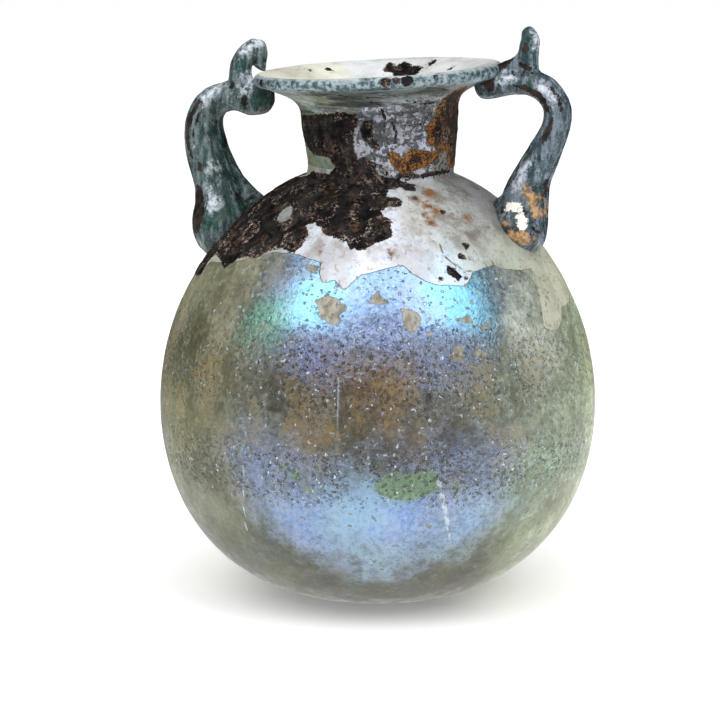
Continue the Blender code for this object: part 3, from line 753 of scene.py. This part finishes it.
    # The white film, stained with rust and grey, and mottled on the neck.
    whiteness = n.mixed(n.ranged(broad, 0.40, 0.62, 0.0, 0.55), n.colour("white_tint"),
                        n.tinted(n.colour("white_tint"), (0.62, 0.58, 0.50)))
    whiteness = n.mixed(n.ranged(medium, 0.50, 0.66, 0.0, 0.4), whiteness,
                        n.tinted(n.colour("white_tint"), (1.22, 1.20, 1.16)))
    stained = n.times(n.ranged(broad, 0.42, 0.54), n.ranged(medium, 0.42, 0.60, 0.0, 0.75))
    whiteness = n.mixed(n.times(stained, n.ranged(height, 43.5, 46.5, 0.25, 1.0)), whiteness,
                        n.tinted(n.colour("white_tint"), (0.42, 0.36, 0.31)))
    smudge = n.times(n.ranged(n.noise(260.0, 6.0, 0.7), 0.54, 0.66), n.ranged(small, 0.36, 0.56))
    whiteness = n.mixed(n.times(smudge, n.ranged(height, 44.0, 47.0, 0.2, 0.8)), whiteness,
                        (0.13, 0.10, 0.085))
    whiteness = n.mixed(n.ranged(small, 0.58, 0.66, 0.0, 0.7), whiteness,
                        n.tinted(n.colour("white_tint"), (0.36, 0.32, 0.28)))
    whiteness = n.mixed(n.times(n.times(on_neck, n.ranged(height, 52.0, 53.0)),
                                n.ranged(n.plus(small, medium), 1.035, 0.965, 0.0, 0.94)), whiteness,
                        (0.020, 0.021, 0.020))
    whiteness = n.mixed(n.times(flared, n.ranged(turned, 0.49, 0.58, 0.0, 0.85)), whiteness,
                        (0.035, 0.042, 0.038))
    whiteness = n.mixed(n.times(rust, n.ranged(small, 0.27, 0.44)), whiteness,
                        n.mixed(n.ranged(medium, 0.4, 0.6), (0.07, 0.030, 0.014), (0.24, 0.095, 0.022)))
    whiteness = n.mixed(line, whiteness, (0.16, 0.14, 0.045))
    skin_white = n.shader(whiteness, n.ranged(small, 0.3, 0.7, 0.32, 0.6), skin)

    # The crust, black-brown with a grey bloom and beige and rust specks.
    spotted = n.maths("MULTIPLY_ADD", fine, 0.6, n.times(small, 0.6))
    dark = n.mixed(n.ranged(medium, 0.40, 0.62), (0.003, 0.003, 0.004), (0.017, 0.013, 0.012))
    dark = n.mixed(n.ranged(broad, 0.50, 0.62, 0.0, 0.35), dark, (0.045, 0.042, 0.045))
    warm = n.times(n.ranged(n.noise(420.0, 3.0), 0.54, 0.64), n.ranged(small, 0.46, 0.56))
    dark = n.mixed(warm, dark, (0.085, 0.040, 0.020))
    dusty = n.times(n.ranged(spotted, 0.56, 0.66), n.ranged(n.noise(330.0, 5.0), 0.46, 0.60, 0.0, 0.8))
    dark = n.mixed(dusty, dark, (0.060, 0.047, 0.041))
    beige = n.times(n.ranged(spotted, 0.62, 0.69), n.ranged(n.noise(480.0, 5.0), 0.47, 0.58))
    beige = n.times(beige, n.ranged(height, 50.0, 53.0, 1.0, 0.5))
    speck = n.mixed(n.ranged(medium, 0.42, 0.60), (0.40, 0.31, 0.25), (0.15, 0.10, 0.075))
    dark = n.mixed(beige, dark, speck)
    rusty = n.maths("MULTIPLY_ADD", n.less(medium, 0.5), 2.8,
                    n.maths("MULTIPLY_ADD", n.less(small, 0.5), 1.6, n.value("ochre")))
    rusty = n.times(n.ranged(rusty, -0.4, 0.2), n.ranged(rusty, 1.1, 0.3, 0.12, 1.0))
    dark = n.mixed(n.times(rusty, n.ranged(fine, 0.36, 0.56)), dark,
                   n.mixed(n.ranged(spotted, 0.50, 0.68), (0.055, 0.022, 0.008), (0.36, 0.16, 0.042)))
    soil = n.shader(dark, n.ranged(small, 0.3, 0.7, 0.45, 0.85), rough_skin, Specular_IOR_Level=0.14)

    surface = n.over(cover, glass, film)
    # Painted glints: a pale blue-white non-metal shader laid over the glints, so they show as bright dots
    # under any light. The same shader draws the scratches as pale lines.
    painted_glint_and_scratch_shader = n.shader(n.mixed(n.ranged(small, 0.4, 0.6), (0.42, 0.60, 0.90), (0.86, 0.92, 1.0)),
                       n.ranged(fine, 0.3, 0.7, 0.10, 0.25), skin)
    painted_glint_and_scratch_share = n.larger(n.times(glint_bumps_and_painted_glints, 0.75), n.times(scratch, 0.27))
    surface = n.over(n.times(painted_glint_and_scratch_share, outer), surface, painted_glint_and_scratch_shader)
    whole = n.times(n.larger(white, n.times(on_neck, n.ranged(small, 0.3, 0.5))),
                    n.ranged(n.plus(small, medium), 0.72, 0.96, 0.55, 0.97))
    surface = n.over(n.times(whole, outer), surface, skin_white)
    surface = n.over(crust, surface, soil)
    return n.finish(surface)


flask_mesh.materials.append(flask_material())
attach(flask, "root")
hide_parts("flask")

# The left handle
# A thick trail of blue-green glass, dropped on the shoulder, drawn up as a strap, turned in under the
# rim and folded back up into a spur. It was fused hot, so its foot runs into the body's skin.
VOXEL = 0.00022
FUSE_REACH = 0.0010
FUSE_GAP = 0.0003
FUSE_SINK = 0.00012
WOBBLE_DEPTH, DIMPLE_DEPTH, GRAIN_DEPTH = 0.13, 0.035, 0.012
BACK_OF_MARKS, CLEAR_OF_MARKS = -0.8, -0.3

flask_surface = BVHTree.FromObject(flask, bpy.context.evaluated_depsgraph_get())


def drawn_trail(node_name, mesh_name, seed):
    """The handle's solid made finer, softened, given the wobble of hot glass and fused to the flask."""
    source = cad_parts[node_name]
    helper = bpy.data.objects.new(mesh_name + "_rough", source.data.copy())
    helper.matrix_world = source.matrix_world
    bpy.context.scene.collection.objects.link(helper)
    remesh = helper.modifiers.new("even", "REMESH")
    remesh.mode = "VOXEL"
    remesh.voxel_size = VOXEL
    soft = helper.modifiers.new("soft", "SMOOTH")
    soft.factor = 0.6
    soft.iterations = 14
    mesh = bpy.data.meshes.new_from_object(helper.evaluated_get(bpy.context.evaluated_depsgraph_get()))
    mesh.transform(helper.matrix_world)
    bpy.data.objects.remove(helper)
    mesh.name = mesh_name
    shift = Vector((seed, 0.3 * seed, 0.7 * seed))
    moved = []
    for vertex in mesh.vertices:
        p = vertex.co / MM + shift
        stretched = Vector((p.x * 0.55, p.y * 0.55, p.z * 0.22))
        bulge = (WOBBLE_DEPTH * noise.noise(stretched) + DIMPLE_DEPTH * noise.noise(p * 1.1)
                 + GRAIN_DEPTH * noise.noise(p * 3.0))
        place = vertex.co + vertex.normal * bulge * MM
        found, facing, _, gap = flask_surface.find_nearest(place, FUSE_REACH)
        if found is not None:
            side = 1.0 if (place - found).dot(facing) > 0.0 else -1.0
            draw = 1.0 - float(eased(gap, FUSE_GAP, FUSE_REACH))
            place = place - facing * (FUSE_GAP + FUSE_SINK) * draw * side
        moved.append(place)
    for vertex, place in zip(mesh.vertices, moved):
        vertex.co = place
    mesh.update()
    return mesh


def marked(mesh, strokes):
    """Millimetres inside strokes, each a run of (reach along the handles' plane, height, radius)."""
    co = np.empty(len(mesh.vertices) * 3)
    mesh.vertices.foreach_get("co", co)
    co = co.reshape(-1, 3) / MM
    reach = co[:, 0] * math.cos(HANDLE_PLANE) + co[:, 1] * math.sin(HANDLE_PLANE)
    aside = co[:, 0] * math.sin(HANDLE_PLANE) - co[:, 1] * math.cos(HANDLE_PLANE)
    found = np.full(len(co), -MARK_REACH)
    for stroke in strokes:
        for (r0, z0, w0), (r1, z1, w1) in zip(stroke, stroke[1:] or stroke):
            long = max((r1 - r0) ** 2 + (z1 - z0) ** 2, 1e-9)
            share = np.clip(((reach - r0) * (r1 - r0) + (co[:, 2] - z0) * (z1 - z0)) / long, 0.0, 1.0)
            gap = np.hypot(reach - r0 - share * (r1 - r0), co[:, 2] - z0 - share * (z1 - z0))
            found = np.maximum(found, w0 + share * (w1 - w0) - gap)
    return np.where(aside > BACK_OF_MARKS, found, np.minimum(found, CLEAR_OF_MARKS))


def trail_material(name, teal, bloom, film_share):
    n = Nodes(name)
    fine = n.noise(4200.0, 4.0, 0.7)
    small = n.noise(1700.0, 5.0, 0.65)
    medium = n.noise(620.0, 5.0, 0.6)
    broad = n.noise(210.0, 4.0, 0.6)
    drawn = n.noise(1.0, 5.0, 0.65, n.stretched((1300.0, 1300.0, 260.0)))
    brown = n.edge(n.value("brown"), small, 1.3, 0.05)
    scattered = n.stretched((900.0, 900.0, 420.0), (0.3, 0.1, 0.2))
    stray = n.ranged(n.noise(1.0, 4.0, 0.6, scattered), 0.655, 0.675)
    brown = n.larger(brown, stray)
    clear = n.edge(n.value("clear"), medium, 2.4, 0.8)
    pale = n.edge(n.value("pale"), small, 2.6, 0.9)
    cream = n.edge(n.value("cream"), small, 1.6, 0.08)
    ochre = n.edge(n.value("ochre"), small, 2.4, 0.35)

    # The glass, dark and blue-green, with clearer green where the film is lost.
    glass_colour = n.mixed(n.ranged(medium, 0.35, 0.65), tuple(0.45 * c for c in teal), teal)
    green = n.mixed(n.ranged(small, 0.35, 0.65), (0.008, 0.036, 0.030), (0.040, 0.125, 0.098))
    glass_colour = n.mixed(n.times(clear, 0.85), glass_colour, green)

    # The film, grey to white, in long shreds drawn out with the glass.
    filmed = n.maths("MULTIPLY_ADD", n.less(drawn, 0.5), 0.9, n.times(medium, 0.5))
    filmed = n.plus(filmed, n.times(broad, 0.5))
    filmed = n.maths("MULTIPLY_ADD", n.less(fine, 0.5), 0.5, filmed)
    filmed = n.maths("MULTIPLY_ADD", pale, 0.22, n.maths("MULTIPLY_ADD", clear, -0.09, filmed))
    filmed = n.ranged(filmed, film_share, film_share + 0.26, 0.0, 0.88)
    film_colour = n.mixed(n.ranged(drawn, 0.38, 0.60), tuple(0.34 * c for c in bloom),
                          tuple(1.15 * c for c in bloom))
    film_colour = n.mixed(n.ranged(broad, 0.42, 0.60, 0.0, 0.5), film_colour, tuple(0.5 * c for c in bloom))
    film_colour = n.mixed(n.ranged(small, 0.57, 0.68, 0.0, 0.7), film_colour, (0.50, 0.56, 0.62))
    film_colour = n.mixed(n.times(pale, n.ranged(small, 0.36, 0.56, 0.1, 0.9)), film_colour,
                          (0.70, 0.76, 0.84))
    skin = n.bump(n.plus(small, n.times(drawn, 1.6)), 0.00012)
    skin = n.bump(filmed, 0.00005, skin)
    glass = n.shader(glass_colour, n.ranged(small, 0.3, 0.7, 0.08, 0.24), skin, Transmission_Weight=0.15,
                     IOR=1.5)
    film = n.shader(film_colour, n.ranged(small, 0.3, 0.7, 0.20, 0.38), skin, IOR=1.6)

    # Soil in patches and in the creases, with cream and ochre deposits on the right foot.
    soil = n.mixed(n.ranged(medium, 0.4, 0.6), (0.010, 0.007, 0.007), (0.045, 0.026, 0.020))
    soil = n.mixed(n.times(ochre, n.ranged(small, 0.34, 0.46)), soil,
                   n.mixed(n.ranged(small, 0.4, 0.6), (0.26, 0.13, 0.04), (0.52, 0.32, 0.14)))
    soil = n.mixed(cream, soil, (0.86, 0.84, 0.76))
    rough_skin = n.bump(n.plus(small, fine), 0.00014, n.bump(brown, 0.00014))
    dirt = n.shader(soil, n.ranged(small, 0.3, 0.7, 0.4, 0.75), rough_skin, Specular_IOR_Level=0.3)
    stained = n.times(ochre, n.ranged(medium, 0.40, 0.52, 0.0, 0.9))
    cover = n.larger(brown, n.larger(cream, stained))
    return n.finish(n.over(cover, n.over(filmed, glass, film), dirt))


LEFT_MARKS = {
    "brown": [
        [(-22.1, 50.2, 0.6), (-22.0, 48.8, 0.9), (-21.9, 47.2, 1.0), (-22.1, 45.6, 0.6)],
        [(-22.3, 61.2, 0.2), (-22.9, 60.3, 0.35), (-23.6, 58.8, 0.4), (-23.9, 57.3, 0.35),
         (-23.7, 55.6, 0.3), (-23.1, 54.2, 0.2)],
        [(-22.2, 59.8, 0.1), (-22.9, 57.4, 0.12), (-22.8, 56.0, 0.1)],
        [(-22.0, 53.4, 0.25), (-21.9, 52.8, 0.35)], [(-18.2, 63.7, 0.15), (-18.2, 63.1, 0.35)],
        [(-16.3, 61.9, 0.3), (-16.4, 61.1, 0.45)], [(-14.6, 63.8, 0.35), (-13.9, 63.6, 0.45)],
        [(-17.6, 49.6, 0.12), (-17.2, 49.2, 0.12)], [(-16.6, 48.8, 0.2), (-15.9, 49.3, 0.15)],
        [(-14.4, 66.6, 0.15), (-14.6, 65.2, 0.3)],
    ],
    "pale": [
        [(-20.6, 50.4, 0.2), (-19.8, 48.8, 0.8)], [(-20.5, 53.2, 0.4)],
        [(-16.2, 64.4, 0.4), (-16.4, 62.7, 0.3)], [(-16.9, 67.4, 0.5), (-15.4, 68.5, 0.6)],
        [(-21.8, 61.6, 0.5), (-20.0, 62.9, 0.3)],
    ],
    "clear": [
        [(-20.2, 46.4, 0.8), (-18.4, 47.4, 0.8), (-17.0, 48.3, 0.6)],
        [(-17.3, 66.0, 0.6), (-17.6, 64.2, 0.7)], [(-14.6, 61.5, 0.9), (-13.8, 62.2, 0.8)],
        [(-18.6, 54.6, 0.9), (-19.5, 57.0, 0.8)],
    ],
    "cream": [],
    "ochre": [],
}
left_mesh = drawn_trail("left_handle", "left_handle_trail", 3.0)
for name, strokes in LEFT_MARKS.items():
    store(left_mesh, name, marked(left_mesh, strokes))
left_handle = smooth_object("left_handle_glass", left_mesh)
left_mesh.materials.clear()
left_mesh.materials.append(
    trail_material("left_handle_weathered_glass", (0.042, 0.085, 0.088), (0.17, 0.225, 0.235), 0.37)
)
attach(left_handle, "root")
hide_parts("left_handle")

# The right handle
# The same kind of trail, thinner, with a broad foot towards the front and an upright finger-like spur. A
# web of glass laps over the lip, where black soil has lodged.
RIGHT_MARKS = {
    "brown": [
        [(13.0, 65.6, 0.8), (14.0, 64.8, 1.0), (14.6, 63.9, 0.6)],
        [(14.6, 65.6, 0.5), (15.9, 66.7, 0.6), (16.7, 67.1, 0.4)], [(18.7, 69.0, 0.2), (18.7, 68.4, 0.4)],
        [(18.2, 66.5, 0.3), (19.3, 66.1, 0.3)], [(17.1, 65.6, 0.15), (17.5, 65.4, 0.2)],
        [(17.6, 64.0, 0.15), (18.8, 63.8, 0.3), (20.3, 63.1, 0.45), (21.1, 62.4, 0.45), (21.6, 61.2, 0.3)],
        [(22.3, 60.2, 0.15), (21.9, 58.8, 0.35), (21.2, 57.1, 0.2)], [(16.7, 49.3, 0.2), (16.6, 48.9, 0.3)],
        [(18.8, 49.3, 0.2), (19.6, 48.9, 0.3)], [(20.5, 47.0, 0.15), (21.0, 46.4, 0.2)],
        [(23.5, 60.9, 0.1), (23.0, 62.6, 0.15), (21.9, 64.0, 0.12)], [(21.6, 52.5, 0.15), (21.3, 50.6, 0.2)],
    ],
    "pale": [
        [(19.9, 70.4, 0.3), (20.3, 68.6, 0.3)], [(18.2, 52.0, 0.5), (19.4, 54.6, 0.3)],
        [(15.6, 64.5, 0.3), (17.0, 65.0, 0.4)], [(20.6, 63.9, 0.3), (22.4, 62.6, 0.3)],
    ],
    "clear": [
        [(19.0, 69.8, 0.5), (19.3, 68.4, 0.9), (19.5, 67.4, 0.7)], [(17.4, 64.2, 0.5), (19.4, 64.3, 0.4)],
    ],
    "cream": [[(17.5, 49.6, 0.6), (18.6, 49.5, 0.6)], [(19.1, 48.4, 0.6), (19.3, 47.5, 0.6)]],
    "ochre": [
        [(19.3, 51.6, 0.6), (20.3, 50.5, 0.6), (21.0, 48.8, 0.7)],
        [(17.2, 47.0, 0.9), (18.3, 46.2, 1.0), (20.0, 45.8, 0.8)],
    ],
}
right_mesh = drawn_trail("right_handle", "right_handle_trail", 11.0)
for name, strokes in RIGHT_MARKS.items():
    store(right_mesh, name, marked(right_mesh, strokes))
right_handle = smooth_object("right_handle_glass", right_mesh)
right_mesh.materials.clear()
right_mesh.materials.append(
    trail_material("right_handle_weathered_glass", (0.045, 0.090, 0.100), (0.19, 0.235, 0.29), 0.36)
)
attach(right_handle, "root")
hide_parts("right_handle")

# The studio
# A pale floor, two soft lights high at the front left and front right, which the film mirrors as two
# bright windows, and soft light from all round.
scene = bpy.context.scene


FLOOR_COLOUR, FLOOR_GLOW, ROOM_LIGHT = (0.93, 0.93, 0.93), 0.24, 0.86
LIGHTS_AIM = Vector((0.0, 0.0, 0.03))


def stage_plane(name, size, height):
    half = size / 2
    mesh = bpy.data.meshes.new(name)
    sheet = [(-half, -half, 0), (half, -half, 0), (half, half, 0), (-half, half, 0)]
    mesh.from_pydata(sheet, [], [(0, 1, 2, 3)])
    obj = bpy.data.objects.new(name, mesh)
    obj.location = (0.0, 0.0, height)
    scene.collection.objects.link(obj)
    material = bpy.data.materials.new(name)
    material.use_nodes = True
    shader = material.node_tree.nodes["Principled BSDF"]
    shader.inputs["Base Color"].default_value = (*FLOOR_COLOUR, 1.0)
    shader.inputs["Roughness"].default_value = 0.9
    shader.inputs["Emission Color"].default_value = (1.0, 1.0, 1.0, 1.0)
    shader.inputs["Emission Strength"].default_value = FLOOR_GLOW
    mesh.materials.append(material)
    return obj


floor = stage_plane("floor", 6.0, 0.0)
floor.visible_glossy = False
near_floor = stage_plane("near_floor", 0.24, -0.0002)
near_floor.visible_camera = False
near_floor.visible_diffuse = False
near_floor.visible_transmission = False
near_floor.visible_shadow = False

world = bpy.data.worlds.new("studio")
world.use_nodes = True
world.node_tree.nodes["Background"].inputs[0].default_value = (1.0, 1.0, 1.0, 1.0)
world.node_tree.nodes["Background"].inputs[1].default_value = ROOM_LIGHT
world.cycles_visibility.glossy = False
scene.world = world


def soft_light(name, azimuth_degrees, elevation_degrees, distance, size, power):
    light = bpy.data.lights.new(name, "AREA")
    light.shape = "SQUARE"
    light.size = size
    light.energy = power
    obj = bpy.data.objects.new(name, light)
    a, e = math.radians(azimuth_degrees), math.radians(elevation_degrees)
    toward = Vector((math.sin(a) * math.cos(e), -math.cos(a) * math.cos(e), math.sin(e)))
    obj.location = LIGHTS_AIM + toward * distance
    obj.rotation_euler = toward.to_track_quat("Z", "Y").to_euler()
    scene.collection.objects.link(obj)
    return obj


soft_light("left_window", -47.0, 48.0, 0.5, 0.32, 0.84)
soft_light("right_window", 47.0, 47.0, 0.5, 0.32, 0.84)
soft_light("top_light", 0.0, 66.0, 0.5, 0.26, 0.26)

camera_data = bpy.data.cameras.new("camera")
camera_data.lens = CAMERA_LENS
camera_data.sensor_width = CAMERA_SENSOR
camera_data.clip_start = 0.01
camera = bpy.data.objects.new("camera", camera_data)
camera.location = CAMERA_PLACE
camera.rotation_euler = CAMERA_TURN
scene.collection.objects.link(camera)
scene.camera = camera

scene.view_settings.view_transform = "Standard"
scene.cycles.use_denoising = True
scene.cycles.max_bounces = 10
scene.cycles.transmission_bounces = 8
scene.cycles.caustics_refractive = False
scene.cycles.caustics_reflective = False
